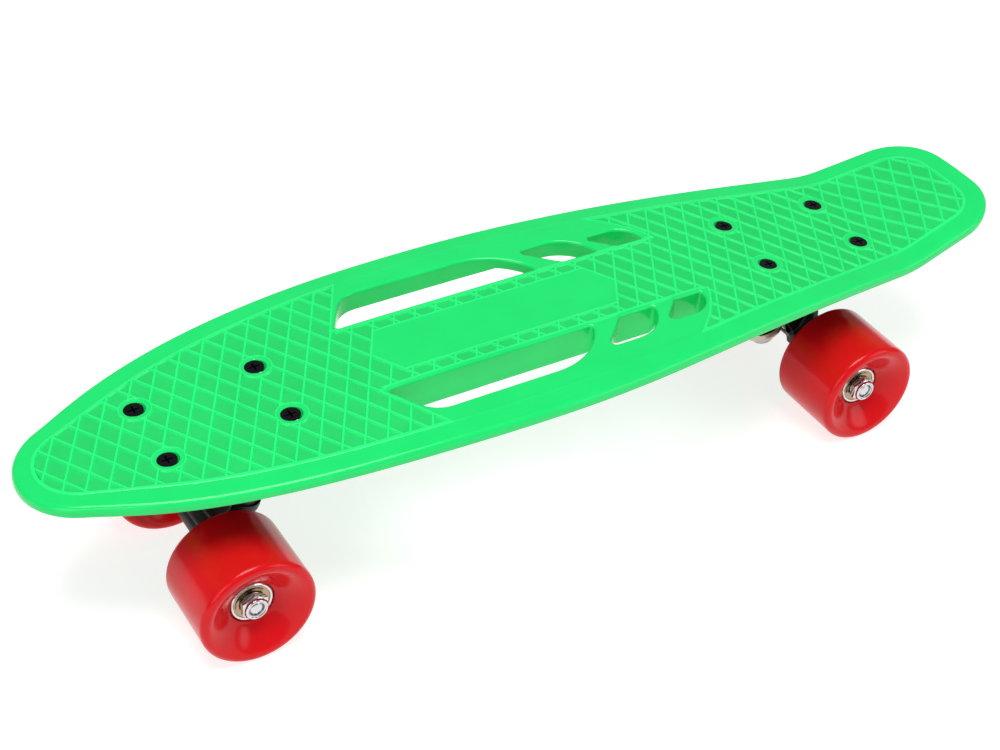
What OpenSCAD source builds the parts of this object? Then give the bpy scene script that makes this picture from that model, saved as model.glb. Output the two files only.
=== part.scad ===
// Small moulded plastic cruiser skateboard.
// +X points to the nose, +Z up, and Z = 0 is the ground under the four wheels.

/* [Deck] */
// length of the deck from nose to tail
deck_length = 563.5; // [563.5:0.5:564]
// thickness of the deck shell
shell = 5; // [4:0.5:6]
// depth of the two long ribs beside the spine
spine_depth = 17; // [14:1:18]
// depth of the walls round the slots
slot_wall_depth = 11; // [9:1:13]
// thickness of the ribs and slot walls
rib = 3.2; // [2.5:0.1:4]

/* [Trucks] */
// distance of the front axle ahead of the middle
front_axle_x = 197.1; // [195:0.1:199]
// distance of the rear axle behind the middle
rear_axle_x = 171.3; // [169:0.1:173]
// front bolt pattern centre ahead of the middle
front_bolts_x = 185.3; // [185:0.1:186]
// rear bolt pattern centre behind the middle
rear_bolts_x = 161.8; // [161:0.1:162]
// slope of the mounting pads, falling outwards
pad_slope = 3.7; // [3.5:0.1:4]
// height of a baseplate's top above its axle
truck_height = 50.2; // [50:0.1:51]
// slope of the steering axis against the baseplate
steer_slope = 22; // [21:0.5:23]

/* [Wheels] */
// diameter of a wheel
wheel_d = 60; // [58:0.5:60]
// width of a wheel
wheel_w = 45; // [44:0.5:46]
// distance of a wheel's middle from the centre line
wheel_y = 52.6; // [52.2:0.1:53]

/* [Hidden] */
axle_z = wheel_d / 2;
half_length = deck_length / 2;
bearing_out = 12.8;
bearing_in = 5.8;
washer_t = 0.8;
hanger_end = wheel_y - bearing_out - washer_t;
bolt_x = 63.5;
bolt_y = 41.3;
ring_x = -26;
ring_z = 17.3;
cup_reach = 45;
eps = 0.02;

GREEN = [0.1, 0.85, 0.35];
BLACK = [0.05, 0.05, 0.055];
STEEL = [0.75, 0.75, 0.77];
RED = [0.8, 0.05, 0.05];
RUBBER = [0.85, 0.8, 0.7];
BRASS = [0.75, 0.62, 0.35];

// ---- deck shape ----

// height lost by a line that turns evenly from level at a to its full slope at b
function bend(d, a, b, slope) =
  d < a ? 0 : d < b ? slope * pow(d - a, 2) / (2 * (b - a)) : slope * (d - (a + b) / 2);

// height of the deck's rim at a distance q behind the wheels' middle
function rim_z(q) = 98.35 - bend(abs(q), 60, 180, 0.068) + bend(q, 213, 231, 0.273);

function bezier(a, b, c, d, n) =
  [for (i = [1:n]) let (t = i / n, u = 1 - t)
    u * u * u * a + 3 * u * u * t * b + 3 * u * t * t * c + t * t * t * d];

function arc(cx, cy, r, from, to, n) =
  [for (i = [0:n]) let (t = from + (to - from) * i / n) [cx + r * cos(t), cy + r * sin(t)]];

// half of the plan outline, as distance behind the nose tip and half width
half_outline = concat(
  arc(34.9, 0, 34.9, 180, 116.5, 8),
  bezier([19.3, 31.2], [45.7, 44.4], [82.3, 76.8], [250, 76.8], 14),
  bezier([250, 76.8], [321, 76.8], [374, 65.2], [532, 46.2], 12),
  arc(530.1, 13.2, 33, 83.2, 3.7, 8));

outline = concat(
  [for (p = half_outline) [half_length - p[0], p[1]]],
  [[-half_length, 0]],
  [for (i = [len(half_outline) - 1:-1:1]) [half_length - half_outline[i][0], -half_outline[i][1]]]);

// the same outline moved inwards by d
function inset(pts, d) =
  [for (i = [0:len(pts) - 1])
    let (n = len(pts), t = pts[(i + 1) % n] - pts[(i + n - 1) % n])
    pts[i] + d * [-t[1], t[0]] / norm(t)];

profile_q = concat(
  [-271], [for (i = [0:6]) -180 + 20 * i], [for (i = [0:6]) 60 + 20 * i],
  [213, 219, 225, 231, 295]);

function profile(top, bottom) = concat(
  [for (q = profile_q) [11.75 - q, rim_z(q) + top]],
  [for (i = [len(profile_q) - 1:-1:0]) [11.75 - profile_q[i], rim_z(profile_q[i]) + bottom]]);

// a layer of the deck between two heights that follow the rim, over half width w
module layer(top, bottom, w = 80)
  rotate([90, 0, 0])
    translate([0, 0, -w])
      linear_extrude(2 * w)
        polygon(profile(top, bottom));

// a slot: straight inner edge, slanted front end, straight outer edge, rounded rear end
function slot(front_q, slant_q, flat_q, outer_y, r) =
  let (c = [flat_q, outer_y - r], s = asin((27.3 - c[1]) / r))
  concat([[front_q, 27.3], [slant_q, outer_y - 3], [slant_q + 3, outer_y]],
    arc(c[0], c[1], r, 90, s, 7));

SLOTS = [slot(-95, -82, -12, 51.9, 40), slot(41.1, 23.3, 39.5, 47, 23.2),
  slot(75.3, 63.3, 77.8, 42.2, 14.2)];

module slots(grow)
  for (side = [-1, 1])
    for (s = SLOTS)
      translate([0, 0, 60])
        linear_extrude(50)
          polygon([for (p = inset(s, grow)) [11.75 - p[0], side * p[1]]]);

module deck_ribs() {
  intersection() {
    layer(-1, -slot_wall_depth);
    slots(rib);
  }
  intersection() {
    layer(-1, -spine_depth, 30);
    union() {
      for (y = [-27.3, 27.3 - rib])
        translate([-116, y, 60])
          cube([258, rib, 50]);
      for (x = [-95, -45, 5, 55, 105])
        translate([x, -25, 60])
          cube([rib, 50, 50]);
    }
  }
}

module deck_pad()
  translate([-54, -28, truck_height])
    cube([80, 56, 12]);

module bolt_holes(r, z0, z1)
  for (x = [-bolt_x / 2, bolt_x / 2])
    for (y = [-bolt_y / 2, bolt_y / 2])
      translate([x, y, z0])
        cylinder(r = r, h = z1 - z0, $fn = 48);

// countersinks for the screw heads
module head_sinks()
  for (x = [-bolt_x / 2, bolt_x / 2])
    for (y = [-bolt_y / 2, bolt_y / 2])
      translate([x, y, truck_height + 10.6])
        cylinder(r1 = 2.8, r2 = 8.8, h = 6, $fn = 48);

module deck()
  color(GREEN)
    difference() {
      union() {
        intersection() {
          layer(0, -shell);
          translate([0, 0, 50])
            linear_extrude(80)
              polygon(outline);
        }
        intersection() {
          layer(0.9, -1);
          translate([0, 0, 50])
            linear_extrude(80)
              polygon(inset(outline, 12.4));
        }
        deck_ribs();
        at_front() deck_pad();
        at_rear() deck_pad();
      }
      slots(0);
      at_front_bolts() {
        bolt_holes(2.8, truck_height - 1, truck_height + 20);
        head_sinks();
      }
      at_rear_bolts() {
        bolt_holes(2.8, truck_height - 1, truck_height + 20);
        head_sinks();
      }
    }

// ---- places ----

// a truck's own frame: origin in its axle, +X outwards, +Z square to its baseplate
module at_front()
  translate([front_axle_x, 0, axle_z])
    rotate([0, pad_slope, 0])
      children();

module at_rear()
  translate([-rear_axle_x, 0, axle_z])
    rotate([0, 0, 180])
      rotate([0, pad_slope, 0])
        children();

// distance from a truck's axle in to the middle of its bolt pattern, along the pad
function pattern_shift(axle_x, bolts_x) =
  (axle_x - bolts_x) / cos(pad_slope) + truck_height * tan(pad_slope);

module at_front_bolts()
  at_front()
    translate([-pattern_shift(front_axle_x, front_bolts_x), 0, 0])
      children();

module at_rear_bolts()
  at_rear()
    translate([-pattern_shift(rear_axle_x, rear_bolts_x), 0, 0])
      children();

// the middle of the hanger's ring, with +Z up along the kingpin
module at_ring()
  translate([ring_x, 0, ring_z])
    rotate([0, -steer_slope, 0])
      children();

// ---- deck fixings ----

module deck_screws()
  for (x = [-bolt_x / 2, bolt_x / 2])
    for (y = [-bolt_y / 2, bolt_y / 2])
      translate([x, y, truck_height])
        difference() {
          union() {
            translate([0, 0, -13])
              cylinder(r = 2.45, h = 25, $fn = 48);
            translate([0, 0, 10.9])
              cylinder(r1 = 2.45, r2 = 5, h = 2.6, $fn = 48);
            translate([0, 0, 13.5])
              cylinder(r = 5, h = 0.4, $fn = 48);
          }
          translate([-2.8, -0.5, 11.9])
            cube([5.6, 1, 3]);
          translate([-0.5, -2.8, 11.9])
            cube([1, 5.6, 3]);
        }

module lock_nut(af, bore, hex_h, collar_h)
  difference() {
    union() {
      cylinder(d = af / cos(30), h = hex_h, $fn = 6);
      cylinder(d = af * 0.92, h = hex_h + collar_h, $fn = 48);
    }
    translate([0, 0, -1])
      cylinder(r = bore, h = hex_h + collar_h + 2, $fn = 48);
  }

module deck_nuts()
  for (x = [-bolt_x / 2, bolt_x / 2])
    for (y = [-bolt_y / 2, bolt_y / 2])
      translate([x, y, truck_height - 5])
        rotate([180, 0, 0])
          lock_nut(8, 2.5, 3.4, 1.6);

module front_deck_screws() color(BLACK) at_front_bolts() deck_screws();
module rear_deck_screws() color(BLACK) at_rear_bolts() deck_screws();
module front_deck_nuts() color(STEEL) at_front_bolts() deck_nuts();
module rear_deck_nuts() color(STEEL) at_rear_bolts() deck_nuts();

// ---- trucks ----

module plate_outline()
  for (m = [0, 1])
    mirror([0, m, 0])
      polygon(concat([[-54, 0]], arc(-46, 20, 8, 180, 90, 6), arc(18, 20, 8, 90, 0, 6), [[26, 0]]));

module baseplate(shift)
  difference() {
    union() {
      translate([0, 0, truck_height - 5])
        linear_extrude(5)
          plate_outline();
      intersection() {
        at_ring()
          translate([0, 0, 18.5])
            cylinder(r = 14.5, h = 40, $fn = 64);
        translate([-60, -20, 0])
          cube([60, 40, truck_height - 1]);
      }
      translate([0, 11, 0])
        rotate([90, 0, 0])
          linear_extrude(22)
            polygon([[6, truck_height - 2], [25, truck_height - 2], [25, 33], [20, 24.5],
              [9, 28.5], [10.5, 36]]);
    }
    at_ring() {
      cylinder(r = 5, h = 60, $fn = 48);
      translate([0, 0, 26.3])
        cylinder(r = 9, h = 40, $fn = 48);
    }
    at_ring()
      rotate([0, 90, 0])
        translate([0, 0, cup_reach - 24]) {
          cylinder(r = 8, h = 29, $fn = 48);
          // room for the tip of the pivot nose
          cylinder(r = 4.2, h = 31, $fn = 48);
        }
    translate([-shift, 0, 0])
      bolt_holes(2.8, truck_height - 6, truck_height + 1);
  }

module kingpin()
  at_ring() {
    translate([0, 0, -26])
      cylinder(r = 4.95, h = 53, $fn = 48);
    translate([0, 0, 26.35])
      cylinder(d = 14.3 / cos(30), h = 5, $fn = 6);
  }

module kingpin_nut()
  at_ring()
    translate([0, 0, -16.6])
      rotate([180, 0, 0])
        difference() {
          lock_nut(14.3, 5, 5, 2);
          translate([0, 0, 5.8])
            difference() {
              cylinder(r = 20, h = 2, $fn = 48);
              cylinder(r1 = 7, r2 = 5.4, h = 2, $fn = 48);
            }
        }

// nylon cup that the pivot nose turns in
module pivot_cup()
  at_ring()
    rotate([0, 90, 0])
      translate([0, 0, cup_reach])
        difference() {
          translate([0, 0, -8])
            cylinder(r = 7.9, h = 12.8, $fn = 48);
          sphere(r = 6.08, $fn = 48);
          translate([0, 0, -9])
            cylinder(r = 6.08, h = 9, $fn = 48);
        }

module bushing(r, z0, z1)
  at_ring()
    translate([0, 0, z0])
      difference() {
        union() {
          cylinder(r = r, h = 2, $fn = 64);
          translate([0, 0, 2])
            cylinder(r = r - 1, h = z1 - z0 - 4, $fn = 64);
          translate([0, 0, z1 - z0 - 2])
            cylinder(r = r, h = 2, $fn = 64);
        }
        translate([0, 0, -1])
          cylinder(r = 5.1, h = 30, $fn = 48);
      }

// dished washer that holds a bushing's outer end
module cup_washer(z0, up)
  at_ring()
    translate([0, 0, z0])
      mirror([0, 0, up])
        difference() {
          cylinder(r = 13.4, h = 2.6, $fn = 64);
          translate([0, 0, 1.4])
            cylinder(r = 12.2, h = 3, $fn = 64);
          translate([0, 0, -1])
            cylinder(r = 5.1, h = 5, $fn = 48);
        }

module hanger_body() {
  // beam round the axle
  rotate([90, 0, 0])
    translate([0, 0, -30])
      linear_extrude(60)
        polygon([[4.6, -3], [3, -4.8], [-4.5, -6], [-7.5, -4], [-8, 4], [-4, 7], [2.6, 6.4]]);
  rotate([90, 0, 0])
    translate([0, 0, -hanger_end])
      cylinder(r = 6.2, h = 2 * hanger_end, $fn = 48);
  // block and webs from the beam up to the ring
  rotate([90, 0, 0])
    translate([0, 0, -13])
      linear_extrude(26)
        polygon([[1.8, 3], [-6.6, -2], [-12.4, 7.2], [-16.5, 16.2], [-14.9, 22], [0, 29],
          [5, 25], [1, 16]]);
  rotate([0, 25, 0])
    translate([-6.5, 0, 0])
      rotate([90, 0, 90])
        linear_extrude(6)
          polygon([[-28, -1], [28, -1], [26, 6], [12.4, 21], [-12.4, 21], [-26, 6]]);
}

module hanger()
  difference() {
    union() {
      difference() {
        hanger_body();
        // room for the bushings, their washers and the kingpin nut as the hanger rolls
        at_ring() {
          translate([0, 0, -30])
            cylinder(r = 13.6, h = 60, $fn = 64);
          translate([0, 0, -18.5])
            cylinder(r1 = 17.6, r2 = 13.4, h = 18.5, $fn = 64);
        }
      }
      at_ring() {
        translate([0, 0, -4])
          cylinder(r = 14.5, h = 8, $fn = 64);
        // pivot nose
        rotate([0, 90, 0]) {
          translate([0, 0, 14])
            cylinder(r1 = 6.8, r2 = 5, h = cup_reach - 14, $fn = 48);
          translate([0, 0, cup_reach])
            sphere(r = 6, $fn = 48);
        }
      }
    }
    rotate([90, 0, 0])
      translate([0, 0, -60])
        cylinder(r = 4, h = 120, $fn = 48);
    at_ring()
      translate([0, 0, -10])
        cylinder(r = 7.2, h = 20, $fn = 48);
  }

module axle()
  rotate([90, 0, 0])
    translate([0, 0, -wheel_y - 18.4])
      cylinder(r = 3.98, h = 2 * wheel_y + 36.8, $fn = 48);

module front_baseplate()
  color(BLACK) at_front() baseplate(pattern_shift(front_axle_x, front_bolts_x));
module rear_baseplate()
  color(BLACK) at_rear() baseplate(pattern_shift(rear_axle_x, rear_bolts_x));
module front_pivot_cup() color(RUBBER) at_front() pivot_cup();
module rear_pivot_cup() color(RUBBER) at_rear() pivot_cup();
module front_kingpin() color(STEEL) at_front() kingpin();
module rear_kingpin() color(STEEL) at_rear() kingpin();
module front_kingpin_nut() color(STEEL) at_front() kingpin_nut();
module rear_kingpin_nut() color(STEEL) at_rear() kingpin_nut();
module front_board_bushing() color(RUBBER) at_front() bushing(12, 4.02, 17.1);
module rear_board_bushing() color(RUBBER) at_rear() bushing(12, 4.02, 17.1);
module front_road_bushing() color(RUBBER) at_front() bushing(11.5, -15.1, -4.02);
module rear_road_bushing() color(RUBBER) at_rear() bushing(11.5, -15.1, -4.02);
module front_board_washer() color(STEEL) at_front() cup_washer(18.5, 1);
module rear_board_washer() color(STEEL) at_rear() cup_washer(18.5, 1);
module front_road_washer() color(STEEL) at_front() cup_washer(-16.55, 0);
module rear_road_washer() color(STEEL) at_rear() cup_washer(-16.55, 0);
module front_hanger() color(BLACK) at_front() hanger();
module rear_hanger() color(BLACK) at_rear() hanger();
module front_axle() color(STEEL) at_front() axle();
module rear_axle() color(STEEL) at_rear() axle();

// ---- wheels ----

// a wheel's own frame: origin in its middle, +Z outwards along the axle
module at_wheel(x, side)
  translate([x, side * wheel_y, axle_z])
    rotate([-90 * side, 0, 0])
      children();

// half of a wheel's section, from its bearing seat to its rim
wheel_half = concat(
  [[9.2, 0], [9.2, bearing_in], [11, bearing_in], [11, 13.1], [12.6, 13.1], [14, 13.8]],
  [for (i = [1:5]) [14 + 11.5 * i / 5, 13.8 + 8.2 * pow(i / 5, 1.5)]],
  arc(wheel_d / 2 - 3.2, wheel_w / 2 - 3.2, 3.2, 100, 0, 6),
  [[wheel_d / 2, 0]]);

module wheel()
  color(RED)
    for (m = [0, 1])
      mirror([0, 0, m])
        rotate_extrude($fn = 120)
          polygon(wheel_half);

module both_bearings()
  for (m = [0, 1])
    mirror([0, 0, m])
      translate([0, 0, (bearing_in + bearing_out) / 2])
        children();

module outer_races()
  color(STEEL)
    both_bearings()
      rotate_extrude($fn = 96)
        difference() {
          translate([9.2, -3.48])
            square([1.77, 6.96]);
          translate([7.5, 0])
            circle(r = 2.03, $fn = 32);
          for (s = [-1, 1])
            translate([9, s * 3 - 0.25])
              square([0.6, 0.5]);
        }

module inner_races()
  color(STEEL)
    both_bearings()
      rotate_extrude($fn = 96)
        difference() {
          translate([4, -3.48])
            square([1.8, 6.96]);
          translate([7.5, 0])
            circle(r = 2.03, $fn = 32);
        }

module ball_cages()
  color(BRASS)
    both_bearings() {
      for (i = [0:6])
        rotate([0, 0, i * 360 / 7])
          translate([7.5, 0, 0])
            sphere(r = 1.98, $fn = 24);
      rotate_extrude($fn = 96)
        translate([6.9, -1.2])
          square([1.2, 2.4]);
    }

module shields()
  color(BRASS)
    both_bearings()
      for (s = [-1, 1])
        rotate_extrude($fn = 96)
          translate([6.1, s * 3 - 0.2])
            square([3.45, 0.4]);

module spacer()
  color(STEEL)
    difference() {
      cylinder(r = 5.5, h = 2 * bearing_in, center = true, $fn = 48);
      cylinder(r = 4.1, h = 20, center = true, $fn = 48);
    }

module axle_washers()
  color(STEEL)
    for (z = [-bearing_out - washer_t + eps, bearing_out])
      translate([0, 0, z])
        difference() {
          cylinder(r = 5.7, h = washer_t - eps, $fn = 48);
          translate([0, 0, -1])
            cylinder(r = 4.1, h = 3, $fn = 48);
        }

module axle_nut()
  color(STEEL)
    translate([0, 0, bearing_out + washer_t])
      lock_nut(13, 4.02, 3.4, 1.9);

module front_left_wheel() at_wheel(front_axle_x, 1) wheel();
module front_right_wheel() at_wheel(front_axle_x, -1) wheel();
module rear_left_wheel() at_wheel(-rear_axle_x, 1) wheel();
module rear_right_wheel() at_wheel(-rear_axle_x, -1) wheel();
module front_left_outer_races() at_wheel(front_axle_x, 1) outer_races();
module front_right_outer_races() at_wheel(front_axle_x, -1) outer_races();
module rear_left_outer_races() at_wheel(-rear_axle_x, 1) outer_races();
module rear_right_outer_races() at_wheel(-rear_axle_x, -1) outer_races();
module front_left_inner_races() at_wheel(front_axle_x, 1) inner_races();
module front_right_inner_races() at_wheel(front_axle_x, -1) inner_races();
module rear_left_inner_races() at_wheel(-rear_axle_x, 1) inner_races();
module rear_right_inner_races() at_wheel(-rear_axle_x, -1) inner_races();
module front_left_ball_cages() at_wheel(front_axle_x, 1) ball_cages();
module front_right_ball_cages() at_wheel(front_axle_x, -1) ball_cages();
module rear_left_ball_cages() at_wheel(-rear_axle_x, 1) ball_cages();
module rear_right_ball_cages() at_wheel(-rear_axle_x, -1) ball_cages();
module front_left_shields() at_wheel(front_axle_x, 1) shields();
module front_right_shields() at_wheel(front_axle_x, -1) shields();
module rear_left_shields() at_wheel(-rear_axle_x, 1) shields();
module rear_right_shields() at_wheel(-rear_axle_x, -1) shields();
module front_left_spacer() at_wheel(front_axle_x, 1) spacer();
module front_right_spacer() at_wheel(front_axle_x, -1) spacer();
module rear_left_spacer() at_wheel(-rear_axle_x, 1) spacer();
module rear_right_spacer() at_wheel(-rear_axle_x, -1) spacer();
module front_left_axle_washers() at_wheel(front_axle_x, 1) axle_washers();
module front_right_axle_washers() at_wheel(front_axle_x, -1) axle_washers();
module rear_left_axle_washers() at_wheel(-rear_axle_x, 1) axle_washers();
module rear_right_axle_washers() at_wheel(-rear_axle_x, -1) axle_washers();
module front_left_axle_nut() at_wheel(front_axle_x, 1) axle_nut();
module front_right_axle_nut() at_wheel(front_axle_x, -1) axle_nut();
module rear_left_axle_nut() at_wheel(-rear_axle_x, 1) axle_nut();
module rear_right_axle_nut() at_wheel(-rear_axle_x, -1) axle_nut();

deck();
front_deck_screws();
rear_deck_screws();
front_deck_nuts();
rear_deck_nuts();
front_baseplate();
rear_baseplate();
front_pivot_cup();
rear_pivot_cup();
front_kingpin();
rear_kingpin();
front_kingpin_nut();
rear_kingpin_nut();
front_board_bushing();
rear_board_bushing();
front_road_bushing();
rear_road_bushing();
front_board_washer();
rear_board_washer();
front_road_washer();
rear_road_washer();
front_hanger();
rear_hanger();
front_axle();
rear_axle();
front_left_wheel();
front_right_wheel();
rear_left_wheel();
rear_right_wheel();
front_left_outer_races();
front_right_outer_races();
rear_left_outer_races();
rear_right_outer_races();
front_left_inner_races();
front_right_inner_races();
rear_left_inner_races();
rear_right_inner_races();
front_left_ball_cages();
front_right_ball_cages();
rear_left_ball_cages();
rear_right_ball_cages();
front_left_shields();
front_right_shields();
rear_left_shields();
rear_right_shields();
front_left_spacer();
front_right_spacer();
rear_left_spacer();
rear_right_spacer();
front_left_axle_washers();
front_right_axle_washers();
rear_left_axle_washers();
rear_right_axle_washers();
front_left_axle_nut();
front_right_axle_nut();
rear_left_axle_nut();
rear_right_axle_nut();
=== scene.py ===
import math

import bmesh
import bpy
import numpy as np
from mathutils import Matrix, Vector
from mathutils.geometry import delaunay_2d_cdt


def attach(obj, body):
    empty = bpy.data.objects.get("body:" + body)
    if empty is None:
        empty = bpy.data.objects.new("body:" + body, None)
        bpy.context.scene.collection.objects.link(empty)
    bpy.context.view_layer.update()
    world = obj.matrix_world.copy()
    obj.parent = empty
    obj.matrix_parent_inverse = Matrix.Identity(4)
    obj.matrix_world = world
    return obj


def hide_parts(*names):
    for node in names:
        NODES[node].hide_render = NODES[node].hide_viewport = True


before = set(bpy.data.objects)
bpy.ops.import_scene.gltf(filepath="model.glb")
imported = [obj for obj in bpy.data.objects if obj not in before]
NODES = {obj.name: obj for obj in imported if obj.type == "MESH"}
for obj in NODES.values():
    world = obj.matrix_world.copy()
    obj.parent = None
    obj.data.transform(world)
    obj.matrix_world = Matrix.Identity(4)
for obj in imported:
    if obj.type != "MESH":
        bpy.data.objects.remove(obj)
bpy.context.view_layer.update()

MM = 0.001

# ---- deck: sizes in millimetres, q runs from the nose (minus) to the tail (plus) ----

HALF_LENGTH = 281.75
NOSE_REACH = 2.5         # how far the nose runs out past HALF_LENGTH
Q_SHIFT = 11.75          # the wheels' middle lies this far ahead of the deck's middle
EDGE_ROUND = 2.8         # radius of the deck's upper edge
RIM_TOP = 98.35          # height of the upper edge in the middle of the deck
RIM_DEPTH = 6.0
SHELL = 5.0              # thickness of the deck between its ribs
CROWN = 1.4              # how much the middle of the deck stands above its rim
END_CROWN = 0.4
BEAD = 12.4              # distance of the raised border line from the edge
PITCH_Q, PITCH_Y = 12.11, 21.15
LATTICE_Q0 = -4.1
RIB_HALF = 0.4           # half the width of a lattice rib
# heights above the deck's upper surface
RIB_H, BEAD_H, SMOOTH_H, PANEL_H, FLOOR_H = 0.4, 0.35, 0.12, 0.18, -0.42
HOLE_R = 2.8             # radius of the screw holes
SPINE_DEPTH = 18.2       # depth of the slots' inner walls
LEAST_WALL = 6.5         # least depth of their outer walls
WALL_THICK = 3.2
RIM_FOOT = 3.9           # width of the foot of the deck's rim
SLOT_ROUND = 1.8
SLOT_INNER = 27.9
BOLTS_Q = (-173.5, 173.5)
BOLT_X, BOLT_Y = 63.5, 41.3
BOSS_R, SINK_R = 8.2, 5.4    # radii of the ring round a screw and of its countersink
BOSS_LAND = -0.05            # height of the land between them
PLAIN, MATT_SHADED, RIB = 0, 1, 2   # the deck's material slots: plain green; matt green, darker as painted shade; rib green, lighter as painted highlight


def bend(d, a, b, slope):
    """Zero up to a, then a parabola that reaches the slope at b, then straight."""
    d = np.asarray(d, float)
    inside = slope * (d - a) ** 2 / (2 * (b - a))
    beyond = slope * (d - (a + b) / 2)
    return np.where(d < a, 0.0, np.where(d < b, inside, beyond))


def rim_z(q):
    """Height of the deck's upper edge: flat in the middle, falling outwards, with a kicktail."""
    return RIM_TOP - bend(np.abs(q), 60, 180, 0.068) + bend(q, 213, 231, 0.273)


def bezier(a, b, c, d, n):
    a, b, c, d = (np.array(p, float) for p in (a, b, c, d))
    rows = []
    for i in range(1, n + 1):
        t = i / n
        u = 1 - t
        rows.append(u ** 3 * a + 3 * u * u * t * b + 3 * u * t * t * c + t ** 3 * d)
    return rows


def arc(cx, cy, r, start, end, n):
    turns = np.radians(np.linspace(start, end, n + 1))
    return [np.array((cx + r * math.cos(t), cy + r * math.sin(t))) for t in turns]


def deck_outline():
    """The plan outline, anticlockwise seen from above, as (x, y)."""
    half = arc(34.9, 0, 34.9, 180, 116.5, 16)
    half += bezier((19.3, 31.2), (45.7, 44.4), (82.3, 76.8), (250, 76.8), 64)
    half += bezier((250, 76.8), (321, 76.8), (374, 65.2), (532, 46.2), 72)
    half += arc(530.1, 13.2, 33, 83.2, 3.7, 20)
    half += [np.array((HALF_LENGTH * 2 - 0.12, 6.0))]
    half = np.array(half)
    upper = np.c_[HALF_LENGTH - half[:, 0], half[:, 1]]
    upper[:, 0] += NOSE_REACH * np.clip((upper[:, 0] - 190) / (HALF_LENGTH - 190), 0, 1) ** 2
    lower = np.c_[upper[1:, 0], -upper[1:, 1]][::-1]
    tip = np.array([[-HALF_LENGTH, 0.0]])
    return np.vstack([upper, tip, lower])


def inset(points, d):
    """The closed outline moved d to its left, which is inwards when it runs anticlockwise."""
    p = np.asarray(points, float)
    before = p - np.roll(p, 1, axis=0)
    after = np.roll(p, -1, axis=0) - p
    before /= np.linalg.norm(before, axis=1)[:, None]
    after /= np.linalg.norm(after, axis=1)[:, None]
    n1 = np.c_[-before[:, 1], before[:, 0]]
    n2 = np.c_[-after[:, 1], after[:, 0]]
    m = n1 + n2
    m /= np.maximum(np.einsum("ij,ij->i", m, n1), 0.6)[:, None]
    return p + m * np.reshape(d, (-1, 1))


def settle(before, after):
    """Pulls together the ends of each edge that an inset has turned back on itself."""
    after = after.copy()
    for _ in range(5):
        was = np.roll(before, -1, axis=0) - before
        now = np.roll(after, -1, axis=0) - after
        for i in np.flatnonzero(np.einsum("ij,ij->i", was, now) < 0):
            j = (i + 1) % len(after)
            after[i] = after[j] = (after[i] + after[j]) / 2
    return after


def rounded(corners, radii, n=6):
    """A polygon with each corner replaced by an arc of its radius."""
    out = []
    count = len(corners)
    for i, (corner, r) in enumerate(zip(corners, radii)):
        p = np.array(corner, float)
        if r == 0:
            out.append(p)
            continue
        a = np.array(corners[i - 1], float) - p
        b = np.array(corners[(i + 1) % count], float) - p
        a /= np.linalg.norm(a)
        b /= np.linalg.norm(b)
        half = math.acos(np.clip(a @ b, -1, 1)) / 2
        bis = (a + b) / np.linalg.norm(a + b)
        centre = p + bis * r / math.sin(half)
        start = p + a * r / math.tan(half) - centre
        end = p + b * r / math.tan(half) - centre
        s = math.atan2(start[1], start[0])
        e = math.atan2(end[1], end[0])
        sweep = (e - s + math.pi) % (2 * math.pi) - math.pi
        for k in range(n + 1):
            t = s + sweep * k / n
            out.append(centre + r * np.array((math.cos(t), math.sin(t))))
    return out


def slot_outline(front_q, slant_q, flat_q, outer_y, r, front_r):
    """A slot in (q, y) on the side y > 0, anticlockwise there."""
    cy = outer_y - r
    s = math.degrees(math.asin((SLOT_INNER - cy) / r))
    curve = arc(flat_q, cy, r, s, 90, 14)
    inner_end = curve[0]
    corners = [(front_q, SLOT_INNER), tuple(inner_end)] + [tuple(p) for p in curve[2:]]
    corners += [(slant_q, outer_y)]
    radii = [1.6, 1.6] + [0] * (len(curve) - 2) + [front_r]
    return np.array(rounded(corners, radii))


SLOTS = [
    slot_outline(-95.0, -80.2, -12.0, 51.9, 40.0, 16.0),
    slot_outline(41.1, 21.8, 39.5, 47.0, 23.2, 2.5),
    slot_outline(75.3, 61.2, 77.8, 42.2, 14.2, 2.5),
]
WALL_DEPTHS = [11.7, 10.0, 12.5]
WALL_RISE = [0.775, 0, 0]    # how fast the rear end of a wall's foot rises as the wall turns inwards


def densify(points, step):
    """Splits the long edges of a closed outline."""
    p = np.asarray(points, float)
    out = []
    for a, b in zip(p, np.roll(p, -1, axis=0)):
        n = max(1, int(math.ceil(np.linalg.norm(b - a) / step)))
        out += [a + (b - a) * k / n for k in range(n)]
    return np.array(out)


def to_deck(points, side):
    """(q, y) on the side y > 0 to the deck's (x, y), anticlockwise on either side."""
    p = np.asarray(points, float)
    out = np.c_[Q_SHIFT - p[:, 0], side * p[:, 1]]
    return out if side < 0 else out[::-1]


OUTLINE = deck_outline()
# the smooth side areas and the strips beside the slots, then the panel in the middle, as (q, y)
SMOOTH = [(-97.2, 27.3), (96.4, 27.3), (95.1, 31.0), (91.1, 37.4), (84.5, 46.2), (77.8, 52.6),
          (67.8, 61.5), (57.8, 80), (-68.4, 80)]
SPINE = [(-95.8, 24.7), (95.3, 24.7), (95.3, 30), (-93.2, 30)]
TIP = 0.75
TIP_A, TIP_B = LATTICE_Q0 - 7 * PITCH_Q + TIP, LATTICE_Q0 + 5 * PITCH_Q - TIP
PANEL_Y = 16.7
SLANT = PANEL_Y * PITCH_Q / PITCH_Y
PANEL = [(TIP_A + SLANT, -PANEL_Y), (TIP_B - SLANT, -PANEL_Y), (TIP_B, 0), (TIP_B - SLANT, PANEL_Y),
         (TIP_A + SLANT, PANEL_Y), (TIP_A, 0)]


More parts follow.
